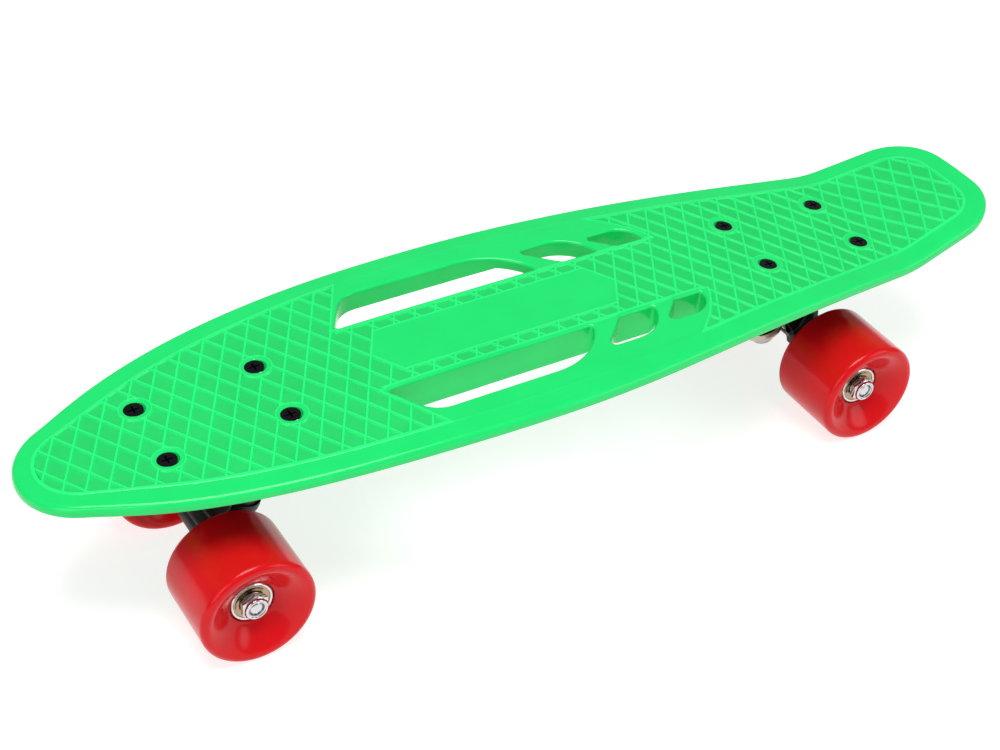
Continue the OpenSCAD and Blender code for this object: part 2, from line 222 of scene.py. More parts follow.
def distance_inside(points, polygon):
    """Signed distance of each point from a closed outline, positive inside."""
    p = np.asarray(points, float)
    a = np.asarray(polygon, float)
    b = np.roll(a, -1, axis=0)
    best = np.full(len(p), 1e9)
    crossings = np.zeros(len(p), int)
    for s, e in zip(a, b):
        d = e - s
        t = np.clip(((p - s) @ d) / (d @ d), 0, 1)
        near = np.linalg.norm(p - s - t[:, None] * d, axis=1)
        best = np.minimum(best, near)
        spans = (s[1] > p[:, 1]) != (e[1] > p[:, 1])
        if spans.any():
            x = s[0] + (p[:, 1] - s[1]) * d[0] / (d[1] if d[1] else 1e-12)
            crossings += spans & (p[:, 0] < x)
    return np.where(crossings % 2 == 1, best, -best)


def half_width(x):
    upper = OUTLINE[OUTLINE[:, 1] >= 0]
    order = np.argsort(upper[:, 0])
    return np.interp(x, upper[order, 0], upper[order, 1])


def surface_z(x, y):
    """Height of the deck's upper surface, without its relief."""
    fade = np.clip((HALF_LENGTH - np.abs(x)) / 45, 0, 1)
    crown = END_CROWN + (CROWN - END_CROWN) * ramp(200 - np.abs(x), 40, 100)
    ratio = np.clip(np.abs(y) / np.maximum(half_width(x), 1), 0, 1)
    return rim_z(Q_SHIFT - x) + crown * fade * (1 - ratio ** 6)


def ramp(v, a, b):
    t = np.clip((v - a) / (b - a), 0, 1)
    return t * t * (3 - 2 * t)


def nose_shift(x):
    """How much closer to the edge the bead runs round the nose."""
    return 3.0 * ramp(x, 225, 275)


def relief(points):
    """Height of the bead, ribs' tops and smooth areas above the deck's upper surface."""
    p = np.asarray(points, float)
    depth = distance_inside(p, OUTLINE) + nose_shift(p[:, 0])
    q = np.c_[Q_SHIFT - p[:, 0], np.abs(p[:, 1])]
    zone = np.full(len(p), RIB_H)
    zone -= (RIB_H - SMOOTH_H) * ramp(distance_inside(q, SMOOTH), 0, 1.1)
    zone -= (RIB_H - PANEL_H) * ramp(distance_inside(q, PANEL), 0, 0.9)
    h = BEAD_H * ramp(depth, BEAD - 1.0, BEAD - 0.2)
    inner = ramp(depth, BEAD + 0.3, BEAD + 1.1)
    return np.where(depth < BEAD, h, BEAD_H + (zone - BEAD_H) * inner)


def diamonds():
    """The lattice's cells, each shrunk by half a rib, as (q, y) outlines."""
    a, b = PITCH_Q / 2, PITCH_Y / 2
    reach = a * b / math.hypot(a, b)
    k = (reach - RIB_HALF) / reach
    cells = []
    for n in range(-50, 52):
        for m in range(-8, 9):
            q = LATTICE_Q0 + a * n
            y = b * m
            if (n + m) % 2 == 0:
                continue
            corners = [(q - a * k, y), (q, y - b * k), (q + a * k, y), (q, y + b * k)]
            cells.append(densify(np.array(corners), 4.2))
    return cells


def bolt_places():
    return [(q + sx * BOLT_X / 2, sy * BOLT_Y / 2) for q in BOLTS_Q for sx in (-1, 1) for sy in (-1, 1)]


def circle(cx, cy, r, n=40):
    turns = np.linspace(0, 2 * math.pi, n + 1)[:-1]
    return np.array([(cx + r * math.cos(t), cy + r * math.sin(t)) for t in turns])


class DeckMesh:
    """Collects (x, y, height above the upper surface) points and faces."""

    def __init__(self):
        self.points = []
        self.faces = []
        self.slots = []

    def add(self, xy, h):
        start = len(self.points)
        h = np.broadcast_to(np.asarray(h, float), (len(xy),))
        self.points += [(p[0], p[1], z) for p, z in zip(xy, h)]
        return list(range(start, start + len(xy)))

    def face(self, ids, slot=PLAIN):
        self.faces.append(list(ids))
        self.slots.append(slot)

    def strip(self, ring_a, ring_b, slot=PLAIN):
        """Quads between two anticlockwise rings of equal length; from outer to inner they face up."""
        n = len(ring_a)
        for i in range(n):
            j = (i + 1) % n
            self.face((ring_a[i], ring_a[j], ring_b[j], ring_b[i]), slot)


def loops_of(triangles):
    """The boundary loops of a set of triangles, as lists of vertex numbers."""
    edges = {}
    for t in triangles:
        for a, b in zip(t, t[1:] + t[:1]):
            edges[(a, b)] = True
    nxt = {a: b for (a, b) in edges if (b, a) not in edges}
    loops = []
    while nxt:
        start = next(iter(nxt))
        loop = [start]
        v = nxt.pop(start)
        while v != start:
            loop.append(v)
            if v not in nxt:
                break
            v = nxt.pop(v)
        loops.append(loop)
    return loops


def connected(triangles):
    """Splits a set of triangles into groups that share edges."""
    edge_owner = {}
    parent = list(range(len(triangles)))

    def root(i):
        while parent[i] != i:
            i = parent[i]
        return i

    for i, t in enumerate(triangles):
        for a, b in zip(t, t[1:] + t[:1]):
            key = (min(a, b), max(a, b))
            if key in edge_owner:
                parent[root(i)] = root(edge_owner[key])
            edge_owner[key] = i
    groups = {}
    for i, t in enumerate(triangles):
        groups.setdefault(root(i), []).append(t)
    return list(groups.values())


def area(p):
    x, y = p[:, 0], p[:, 1]
    return 0.5 * float(np.sum(x * np.roll(y, -1) - y * np.roll(x, -1)))


def slot_loops():
    out = []
    for side in (1, -1):
        for s in SLOTS:
            out.append(densify(to_deck(s, side), 4.0))
    return out


def cut_map(loops, cells, grid_step, limit):
    """Cuts the plan up along closed loops and cells.

    Gives the vertices, the triangles and, for each triangle, the loops and cell that hold it.
    """
    points, faces = [], []
    for ring in list(loops) + list(cells):
        start = len(points)
        points += [Vector((float(p[0]), float(p[1]))) for p in ring]
        faces.append(list(range(start, len(points))))
    lo, hi = limit.min(axis=0), limit.max(axis=0)
    gx = np.arange(lo[0] + 2, hi[0] - 1, grid_step)
    gy = np.arange(lo[1] + 1.7, hi[1] - 1, grid_step)
    grid = np.array([(x + 0.37 * (i % 2), y) for i, y in enumerate(gy) for x in gx])
    grid = grid[distance_inside(grid, limit) > 1.5]
    points += [Vector((float(p[0]), float(p[1]))) for p in grid]
    v, _, tris, _, _, owners = delaunay_2d_cdt(points, [], faces, 0, 1e-4, True)
    return np.array([tuple(p) for p in v]), [list(t) for t in tris], [set(o) for o in owners]


def build_deck_top(mesh):
    edge = inset(OUTLINE, EDGE_ROUND)
    slots = slot_loops()
    loops = {"edge": edge}
    for d in (BEAD - 1.0, BEAD - 0.6, BEAD - 0.2, BEAD + 0.3, BEAD + 1.1):
        loops["bead%.1f" % d] = inset(OUTLINE, d - nose_shift(OUTLINE[:, 0]))
    clip = "bead%.1f" % (BEAD + 1.1)
    for side in (1, -1):
        for d in (-1.0, 0.0, 0.55, 1.1):
            loops["smooth%d%.1f" % (side, d)] = densify(to_deck(inset(SMOOTH, d), side), 5)
        loops["spine%d" % side] = densify(to_deck(SPINE, side), 5)
    for d in (-1.1, 0.0, 0.9):
        loops["panel%.1f" % d] = densify(to_deck(inset(PANEL, d), -1), 5)
    for i, s in enumerate(slots):
        loops["slot%d" % i] = inset(s, -SLOT_ROUND)
    for i, (q, y) in enumerate(bolt_places()):
        loops["boss%d" % i] = circle(Q_SHIFT - q, y, BOSS_R)
        for d in (0.5, 1.3):
            loops["land%d_%.1f" % (i, d)] = circle(Q_SHIFT - q, y, BOSS_R - d)
        loops["sink%d" % i] = circle(Q_SHIFT - q, y, SINK_R)
    names = list(loops)
    cells = [to_deck(c, -1) for c in diamonds()]
    cells = [c for c in cells if distance_inside(c.mean(axis=0)[None], OUTLINE)[0] > 2]
    v, tris, owners = cut_map([loops[n] for n in names], cells, 5.0, edge)
    number = {n: i for i, n in enumerate(names)}
    first_cell = len(names)
    blocked = {number[n] for n in names if n.startswith(("boss", "spine", "panel-1.1"))}
    blocked |= {number[n] for n in names if n.startswith("smooth") and n.endswith("-1.0")}
    holes = {number[n] for n in names if n.startswith("slot")}
    sinks = np.array([(Q_SHIFT - q, y) for q, y in bolt_places()])
    lands = {number[n] for n in names if n.startswith("land")}
    in_cell = {}
    kept = []
    for t, own in zip(tris, owners):
        if number["edge"] not in own or own & holes:
            continue
        if np.linalg.norm(sinks - v[t].mean(axis=0), axis=1).min() < SINK_R:
            continue
        cell = [o for o in own if o >= first_cell]
        if cell and number[clip] in own and not own & blocked:
            in_cell.setdefault(cell[0], []).append(t)
        else:
            kept.append((t, bool(own & lands)))
    h = relief(v)
    # a thin ring round each screw, level with the ribs, with a lower land inside it
    for q, y in bolt_places():
        r = np.hypot(v[:, 0] - (Q_SHIFT - q), v[:, 1] - y)
        h = np.where(r < BOSS_R + 0.05, RIB_H + (BOSS_LAND - RIB_H) * ramp(BOSS_R - r, 0.5, 1.3), h)
    ids = mesh.add(v, h)
    middles = v[[t for t, _ in kept]].mean(axis=1)
    folded = np.c_[Q_SHIFT - middles[:, 0], np.abs(middles[:, 1])]
    plain = distance_inside(middles, OUTLINE) + nose_shift(middles[:, 0]) < BEAD - 0.6
    plain |= distance_inside(folded, SMOOTH) > 0
    plain |= distance_inside(np.c_[folded[:, 0], middles[:, 1]], PANEL) > 0
    for (t, on_land), is_plain in zip(kept, plain):
        # Lattice ribs take the lighter rib green, a painted highlight; plain areas and lands take the
        # plain green.
        mesh.face([ids[i] for i in t], PLAIN if is_plain or on_land else RIB)
    for cell, whole in in_cell.items():
        for group in connected(whole):
            loop = max(loops_of(group), key=len)
            p = v[loop]
            size = area(p)
            around = np.linalg.norm(p - np.roll(p, -1, axis=0), axis=1).sum()
            if size < 1.2 or 2 * size / around < 0.5:
                for t in group:
                    mesh.face([ids[i] for i in t], RIB)
                continue
            top = [ids[i] for i in loop]
            hp = h[loop]
            rings = [top]
            small = size < 7 or 2 * size / around < 1.5
            steps = ((0.12, 0.08), (0.22, 0.3)) if small else ((0.14, 0.06), (0.4, 0.7), (0.6, 1.0))
            for d, drop in steps:
                level = hp + (FLOOR_H - hp) * drop
                rings.append(mesh.add(settle(p, inset(p, d)), level))
            for a, b in zip(rings, rings[1:]):
                # The cell walls take the lighter rib green, a painted highlight.
                mesh.strip(a, b, RIB)
            # The cell's floor takes the matt green, darkened as painted shade in the recess.
            mesh.face(rings[-1], MATT_SHADED)
    return slots


def build_deck_sides(mesh, slots):
    # rounded upper edge, rim and its foot
    rings = []
    for a in np.radians(np.linspace(0, 90, 8)):
        d = EDGE_ROUND * (1 - math.sin(a))
        rings.append(mesh.add(inset(OUTLINE, d), -EDGE_ROUND * (1 - math.cos(a))))
    for d, z in ((0.0, -4.9), (0.25, -5.6), (0.9, -RIM_DEPTH), (3.2, -RIM_DEPTH), (3.7, -5.6),
                 (RIM_FOOT, -SHELL)):
        rings.append(mesh.add(inset(OUTLINE, d), z))
    for a, b in zip(rings, rings[1:]):
        mesh.strip(b, a)
    # slots: rounded upper edge, deep inner wall, foot and outer wall
    for s, deep, rise in zip(slots, WALL_DEPTHS * 2, WALL_RISE * 2):
        turned = np.abs(s[:, 1]).max() - np.abs(s[:, 1])
        outer_depth = np.maximum(deep - rise * turned * (s[:, 0] < 50), LEAST_WALL)
        depth = SPINE_DEPTH - (SPINE_DEPTH - outer_depth) * ramp(np.abs(s[:, 1]), 27.6, 31)
        top = relief(inset(s, -SLOT_ROUND))
        rings = []
        for a in np.radians(np.linspace(0, 90, 7)):
            d = -SLOT_ROUND * (1 - math.sin(a))
            rings.append(mesh.add(inset(s, d), top - SLOT_ROUND * (1 - math.cos(a))))
        for d, rise_up in ((0.3, 0.6), (0.5, 0.15), (1.0, 0), (2.4, 0), (2.9, 0.5)):
            rings.append(mesh.add(inset(s, -d), -depth + rise_up))
        rings.append(mesh.add(inset(s, -WALL_THICK), -SHELL))
        for a, b in zip(rings, rings[1:]):
            mesh.strip(a, b)
    # countersunk screw holes
    for q, y in bolt_places():
        x = Q_SHIFT - q
        rings = []
        for r, z in ((SINK_R, BOSS_LAND), (5.3, -0.15), (5.15, -0.5), (5.1, -1.1), (HOLE_R, -3.6),
                     (HOLE_R, -SHELL)):
            rings.append(mesh.add(circle(x, y, r), z))
        for a, b in zip(rings, rings[1:]):
            mesh.strip(a, b)


def build_deck_under(mesh, slots):
    loops = [inset(OUTLINE, RIM_FOOT)]
    loops += [inset(s, -WALL_THICK) for s in slots]
    loops += [circle(Q_SHIFT - q, y, HOLE_R) for q, y in bolt_places()]
    v, tris, owners = cut_map(loops, [], 7.0, loops[0])
    ids = mesh.add(v, -SHELL)
    for t, own in zip(tris, owners):
        if own == {0}:
            # The underside takes the matt green, darkened as painted shade under the deck.
            mesh.face([ids[i] for i in reversed(t)], MATT_SHADED)


def box_between(bm, corners):
    """A closed box from 8 corners: four below, then four above, both anticlockwise."""
    vs = [bm.verts.new(c) for c in corners]
    for f in ((3, 2, 1, 0), (4, 5, 6, 7), (0, 1, 5, 4), (1, 2, 6, 5), (2, 3, 7, 6), (3, 0, 4, 7)):
        # Each face takes the matt green, darkened as painted shade under the deck.
        bm.faces.new([vs[i] for i in f]).material_index = MATT_SHADED


def deck_height(x, y, h):
    return float(surface_z(np.array([x]), np.array([y]))[0]) + h


def build_ribs(bm):
    """Stiffening ribs below the shell."""
    def rib(x0, y0, x1, y1, t, deep, steps):
        for k in range(steps):
            xa, ya = x0 + (x1 - x0) * k / steps, y0 + (y1 - y0) * k / steps
            xb, yb = x0 + (x1 - x0) * (k + 1) / steps, y0 + (y1 - y0) * (k + 1) / steps
            d = Vector((xb - xa, yb - ya)).normalized()
            n = Vector((-d.y, d.x)) * t / 2
            foot = [(xa - n.x, ya - n.y), (xb - n.x, yb - n.y),
                    (xb + n.x, yb + n.y), (xa + n.x, ya + n.y)]
            low = [Vector((x, y, deck_height(x, y, -deep))) * MM for x, y in foot]
            high = [Vector((x, y, deck_height(x, y, -SHELL + 0.8))) * MM for x, y in foot]
            box_between(bm, low + high)

    for y in (-25.1, 25.1):
        rib(-115, y, 141, y, 3.0, 16.5, 36)
    for x in (-93.4, -43.4, 6.6, 56.6, 106.6):
        rib(x, -25, x, 25, 2.6, 14.5, 1)


def build_deck():
    mesh = DeckMesh()
    slots = build_deck_top(mesh)
    build_deck_sides(mesh, slots)
    build_deck_under(mesh, slots)
    p = np.array(mesh.points)
    z = surface_z(p[:, 0], p[:, 1]) + p[:, 2]
    data = bpy.data.meshes.new("deck_moulding")
    data.from_pydata([(x * MM, y * MM, k * MM) for x, y, k in zip(p[:, 0], p[:, 1], z)], [], mesh.faces)
    data.polygons.foreach_set("material_index", mesh.slots)
    bm = bmesh.new()
    bm.from_mesh(data)
    bmesh.ops.remove_doubles(bm, verts=bm.verts, dist=2e-6)
    bmesh.ops.delete(bm, geom=[v for v in bm.verts if not v.link_faces], context="VERTS")
    build_ribs(bm)
    bm.to_mesh(data)
    bm.free()
    return new_object("deck_moulding", data)


def new_object(name, data):
    obj = bpy.data.objects.new(name, data)
    bpy.context.scene.collection.objects.link(obj)
    return obj


def smooth(obj, angle=None):
    for poly in obj.data.polygons:
        poly.use_smooth = True
    if angle is not None:
        obj.data.set_sharp_from_angle(angle=math.radians(angle))


def weighted(obj):
    mod = obj.modifiers.new("weighted", "WEIGHTED_NORMAL")
    mod.keep_sharp = True
    mod.weight = 80


# ---- materials ----

def material(name, colour, roughness, metallic=0.0, grain=45.0, bump=0.0, bump_scale=900.0,
             mottling=0.06, rough_spread=0.08, ior=1.5):
    """A mottled plastic, paint or metal; the colour varies by the share given as mottling."""
    mat = bpy.data.materials.new(name)
    mat.use_nodes = True
    tree = mat.node_tree
    shader = tree.nodes["Principled BSDF"]
    shader.inputs["Metallic"].default_value = metallic
    shader.inputs["IOR"].default_value = ior
    place = tree.nodes.new("ShaderNodeTexCoord")
    cloud = tree.nodes.new("ShaderNodeTexNoise")
    cloud.inputs["Scale"].default_value = grain
    cloud.inputs["Detail"].default_value = 6.0
    tree.links.new(place.outputs["Object"], cloud.inputs["Vector"])
    ramp_node = tree.nodes.new("ShaderNodeValToRGB")
    light = [min(1.0, c * (1 + mottling)) for c in colour]
    dark = [c * (1 - mottling) for c in colour]
    ramp_node.color_ramp.elements[0].position = 0.3
    ramp_node.color_ramp.elements[0].color = (*dark, 1)
    ramp_node.color_ramp.elements[1].position = 0.7
    ramp_node.color_ramp.elements[1].color = (*light, 1)
    tree.links.new(cloud.outputs["Fac"], ramp_node.inputs["Fac"])
    tree.links.new(ramp_node.outputs["Color"], shader.inputs["Base Color"])
    spread = tree.nodes.new("ShaderNodeMapRange")
    spread.inputs["To Min"].default_value = max(0.02, roughness - rough_spread)
    spread.inputs["To Max"].default_value = min(1.0, roughness + rough_spread)
    tree.links.new(cloud.outputs["Fac"], spread.inputs["Value"])
    tree.links.new(spread.outputs["Result"], shader.inputs["Roughness"])
    if bump:
        fine = tree.nodes.new("ShaderNodeTexNoise")
        fine.inputs["Scale"].default_value = bump_scale
        fine.inputs["Detail"].default_value = 3.0
        tree.links.new(place.outputs["Object"], fine.inputs["Vector"])
        bumper = tree.nodes.new("ShaderNodeBump")
        bumper.inputs["Strength"].default_value = bump
        bumper.inputs["Distance"].default_value = 0.0002
        tree.links.new(fine.outputs["Fac"], bumper.inputs["Height"])
        tree.links.new(bumper.outputs["Normal"], shader.inputs["Normal"])
    return mat


GREEN = material("deck_green", (0.006, 0.6, 0.128), 0.2, bump=0.05, mottling=0.03, ior=1.36)
# Matt green whose darker colour is painted shade, for the cell floors, the underside and the ribs below
# it.
GREEN_FLOOR_SHADED = material("deck_green_matt_shaded", (0.006, 0.5, 0.106), 0.55, bump=0.5, mottling=0.05, ior=1.38)
# Lighter green on the lattice ribs and cell walls: a painted highlight on the rib edges.
GREEN_RIB_LIT = material("deck_green_ribs_lit", (0.011, 0.7, 0.165), 0.3, bump=0.06, mottling=0.03, ior=1.42)
BLACK_STEEL = material("black_oxide", (0.002, 0.002, 0.004), 0.24, bump=0.15, ior=1.25)
BLACK_PAINT = material("black_powder_coat", (0.004, 0.004, 0.005), 0.4, bump=0.4, bump_scale=1400,
                       ior=1.4)
ZINC = material("bright_zinc", (0.46, 0.46, 0.47), 0.25, metallic=1.0, bump=0.12, grain=180)
YELLOW_ZINC = material("yellow_zinc", (0.62, 0.55, 0.46), 0.36, metallic=0.85, bump=0.12, grain=180)
CHROME = material("chrome", (0.56, 0.55, 0.56), 0.13, metallic=1.0, grain=120, rough_spread=0.04)
SHIELD = material("yellow_shield", (0.36, 0.27, 0.16), 0.24, metallic=1.0, grain=150, bump=0.08)
WHEEL_RED = material("wheel_red", (0.54, 0.003, 0.006), 0.17, mottling=0.05, bump=0.02,
                     bump_scale=300, ior=1.3, rough_spread=0.04)
NYLON = material("nylon", (0.75, 0.72, 0.62), 0.5, bump=0.2)
BUSHING = material("bushing_urethane", (0.014, 0.014, 0.016), 0.4, bump=0.1)

# The road cups are the same zinc part at both ends: the rear one is yellow zinc, the front one black paint
# as painted shade, standing in for its reflection of the deck's dark underside.
ROAD_CUP_LOOK_FRONT_SHADED = {"front": BLACK_PAINT, "rear": YELLOW_ZINC}

deck = build_deck()
for look in (GREEN, GREEN_FLOOR_SHADED, GREEN_RIB_LIT):
    deck.data.materials.append(look)
smooth(deck, 38)
weighted(deck)
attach(deck, "board")
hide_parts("deck")


# ---- turned and cast parts ----

AXLE_Z, TRUCK_TOP = 30.0, 50.2           # height of the axle, and of the baseplate's top above it
PAD_SLOPE, STEER_SLOPE = 3.7, 22.0       # degrees, of the baseplate and of the steering axis on it
AXLE_X = {"front": 197.1, "rear": 171.3}
BOLTS_X = {"front": 185.3, "rear": 161.8}
WHEEL_Y = 52.6
BEARING_MID, BEARING_HALF = 9.3, 3.48    # distance of a bearing from the wheel's middle, half its width
AXLE_NUT, KINGPIN_NUT, SCREW_NUT = 13, 14.3, 8     # sizes across flats
AXLE_R, AXLE_BORE, KINGPIN_R = 3.98, 4.02, 4.95
CUP_BORE, CUP_THICK = 5.1, 1.35


def shift(x, y, z):
    return Matrix.Translation(Vector((x, y, z)) * MM)


def turn(degrees, axis):
    return Matrix.Rotation(math.radians(degrees), 4, axis)


def truck_frame(end):
    if end == "front":
        return shift(AXLE_X[end], 0, AXLE_Z) @ turn(PAD_SLOPE, "Y")
    return shift(-AXLE_X[end], 0, AXLE_Z) @ turn(180, "Z") @ turn(PAD_SLOPE, "Y")


def ring_frame(end):
    return truck_frame(end) @ shift(-26, 0, 17.3) @ turn(-STEER_SLOPE, "Y")


def bolt_frames(end):
    slope = math.radians(PAD_SLOPE)
    x = (AXLE_X[end] - BOLTS_X[end]) / math.cos(slope) + TRUCK_TOP * math.tan(slope)
    return [truck_frame(end) @ shift(-x + sx * BOLT_X / 2, sy * BOLT_Y / 2, TRUCK_TOP)
            for sx in (-1, 1) for sy in (-1, 1)]


def wheel_frame(end, side):
    x = AXLE_X[end] if end == "front" else -AXLE_X[end]
    return shift(x, side * WHEEL_Y, AXLE_Z) @ turn(-90 * side, "X")


def lathe(bm, profile, place, segments=120, across_flats=None, slot=0):
    """Revolves a closed (radius, z) profile about z; across_flats trims it to a hexagon."""
    rings = []
    for r, z in profile:
        ring = []
        for i in range(segments):
            a = 2 * math.pi * i / segments
            radius = r
            if across_flats:
                off = (a + math.pi / 6) % (math.pi / 3) - math.pi / 6
                radius = min(r, across_flats / 2 / math.cos(off))
            at = Vector((radius * math.cos(a), radius * math.sin(a), z)) * MM
            ring.append(bm.verts.new(place @ at))
        rings.append(ring)
    for a, b in zip(rings, rings[1:] + rings[:1]):
        for i in range(segments):
            j = (i + 1) % segments
            bm.faces.new((a[i], a[j], b[j], b[i])).material_index = slot


def finish_piece(name, bm, looks, body, nodes, angle=35):
    bmesh.ops.remove_doubles(bm, verts=bm.verts, dist=1e-7)
    bmesh.ops.recalc_face_normals(bm, faces=bm.faces)
    data = bpy.data.meshes.new(name)
    bm.to_mesh(data)
    bm.free()
    obj = new_object(name, data)
    for look in looks:
        data.materials.append(look)
    smooth(obj, angle)
    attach(obj, body)
    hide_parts(*nodes)


def corner(r, z, sign_r, sign_z, size, n=5):
    """A rounded corner of a profile; the centre lies inwards of (r, z) by size."""
    cr, cz = r - sign_r * size, z - sign_z * size
    turns = np.linspace(0, math.pi / 2, n)
    return [(cr + sign_r * size * math.sin(t), cz + sign_z * size * math.cos(t)) for t in turns]


def ring_profile(r0, r1, z0, z1, size, n=4):
    """Section of a plain ring with rounded edges."""
    out = corner(r1, z1, 1, 1, size, n)
    out += corner(r1, z0, 1, -1, size, n)[::-1]
    out += corner(r0, z0, -1, -1, size, n)
    out += corner(r0, z1, -1, 1, size, n)[::-1]
    return out


def wheel_profile():
    """Section of a wheel: bore, bearing seat, dished face, round lip and plain tread."""
    half = [(9.2, 0.0), (9.2, 5.8), (10.99, 5.8), (10.99, 11.0), (11.5, 11.1), (11.62, 12.9),
            (11.8, 13.15), (12.2, 13.3)]
    dish = bezier((12.2, 13.3), (15.0, 14.4), (20.36, 20.2), (25.46, 22.26), 28)
    half += [tuple(p) for p in dish]
    lip_turns = np.radians(np.linspace(112, 0, 22))[1:]
    half += [(26.7 + 3.3 * math.cos(t), 19.2 + 3.3 * math.sin(t)) for t in lip_turns]
    half += [(30.0, 15.0), (30.0, 8.0), (30.0, 0.5), (30.0, 0.12)]
    mirrored = [(r, -z) for r, z in half[::-1] if z > 0]
    return half + mirrored


def lock_nut_profile(across_flats, bore, hex_h, collar_h):
    """Hexagon with chamfered corners and a rolled round collar, standing on z = 0."""
    big = across_flats / math.sqrt(3)
    start = across_flats * 0.482
    collar = across_flats * 0.46
    out = [(start, 0.0)]
    out += [(start + (big - start) * k / 4, 0.42 * k / 4) for k in range(1, 5)]
    out += [(big - (big - start) * k / 4, hex_h - 0.5 + 0.5 * k / 4) for k in range(5)]
    out += [(collar + 0.25, hex_h + 0.03), (collar, hex_h + 0.25)]
    top = hex_h + collar_h
    out += [(collar, top - 0.9)]
    rolled = np.linspace(0.2, math.pi / 2, 6)
    out += [(collar - 0.9 + 0.9 * math.cos(t), top - 0.9 + 0.9 * math.sin(t)) for t in rolled]
    out += [(collar - 1.25, top), (collar - 1.4, top - 0.12), (collar - 1.45, top - 0.55),
            (bore + 0.25, top - 0.6), (bore, top - 0.75), (bore, 0.4), (bore + 0.4, 0.0)]
    return out


def threaded_end(r, z0, z1, pitch):
    """Thread ridges from z0 up to z1, then a chamfered and domed end."""
    out = []
    z = z0
    while z + pitch < z1 - 1.0:
        out += [(r - 0.28, z), (r, z + 0.4 * pitch), (r, z + 0.5 * pitch)]
        z += pitch
    out += [(r - 0.3, z), (r - 0.3, z1 - 1.2), (r - 0.8, z1 - 0.8)]
    dome = np.linspace(0.2, math.pi / 2, 8)
    out += [((r - 0.8) * math.cos(t), z1 - 0.8 + 0.8 * math.sin(t)) for t in dome]
    return out


def lathed(name, parts, looks, body, nodes, place, across_flats=None, mirrored=False, angle=35):
    bm = bmesh.new()
    for k, profile in enumerate(parts):
        lathe(bm, profile, place, across_flats=across_flats, slot=min(k, len(looks) - 1))
        if mirrored:
            lathe(bm, profile, place @ Matrix.Scale(-1, 4, (0, 0, 1)), slot=min(k, len(looks) - 1))
    finish_piece(name, bm, looks, body, nodes, angle)


def build_wheel(end, hand, side):
    tag = end + "_" + hand + "_"
    place = wheel_frame(end, side)
    body = tag + "wheel_body"
    truck = end + "_truck"
    mid, half = BEARING_MID, BEARING_HALF
    lathed(tag + "wheel_moulding", [wheel_profile()], [WHEEL_RED], body, [tag + "wheel"],
           place, angle=50)
    outer = [(9.25, mid - 3.3), (9.45, mid - half), (10.6, mid - half), (10.95, mid - 3.15),
             (10.95, mid + 3.15), (10.6, mid + half), (9.95, mid + half), (9.6, mid + 3.3),
             (9.5, mid + 2.9), (9.2, mid + 2.7), (9.2, mid + 1.4), (9.5, mid), (9.2, mid - 1.4)]
    lathed(tag + "bearing_outers", [outer], [CHROME], body, [tag + "outer_races"],
           place, mirrored=True)
    inner = [(AXLE_BORE, mid - half), (5.45, mid - half), (5.75, mid - 3.2), (5.75, mid - 1.4),
             (5.5, mid), (5.75, mid + 1.4), (5.75, mid + 3.2), (5.45, mid + half),
             (AXLE_BORE, mid + half)]
    lathed(tag + "bearing_inners", [inner], [CHROME], truck, [tag + "inner_races"],
           place, mirrored=True)
    shape = [(6.1, 2.75), (6.1, 3.0), (6.35, 3.16), (6.9, 3.2), (7.2, 3.05), (8.5, 3.05), (8.75, 3.18),
             (9.2, 3.2), (9.45, 3.1), (9.45, 2.8), (8.6, 2.8), (7.1, 2.8)]
    shields = [[(r, mid + s * z) for r, z in shape] for s in (-1, 1)]
    lathed(tag + "bearing_shields", shields, [SHIELD], body, [tag + "shields"],
           place, mirrored=True)
    lathed(tag + "thin_washers", [ring_profile(4.12, 5.7, 12.81, 13.57, 0.14)], [ZINC], truck,
           [tag + "axle_washers"], place, mirrored=True)
    nut = [(r, z + 13.6) for r, z in lock_nut_profile(AXLE_NUT, AXLE_BORE, 3.4, 1.9)]
    lathed(tag + "lock_nut", [nut], [CHROME], truck, [tag + "axle_nut"], place,
           across_flats=AXLE_NUT, angle=28)


def cast_piece(name, node, body):
    """The CAD part with the soft edges and corners of a casting."""
    source = NODES[node]
    data = source.data.copy()
    obj = new_object(name, data)
    obj.matrix_world = source.matrix_world.copy()
    data.materials.clear()
    remesh = obj.modifiers.new("voxels", "REMESH")
    remesh.mode = "VOXEL"
    remesh.voxel_size = 0.0008
    soften = obj.modifiers.new("soften", "SMOOTH")
    soften.factor = 0.5
    soften.iterations = 5
    depsgraph = bpy.context.evaluated_depsgraph_get()
    done = bpy.data.meshes.new_from_object(obj.evaluated_get(depsgraph))
    obj.modifiers.clear()
    obj.data = done
    done.materials.clear()
    done.materials.append(BLACK_PAINT)
    smooth(obj)
    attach(obj, body)
    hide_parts(node)


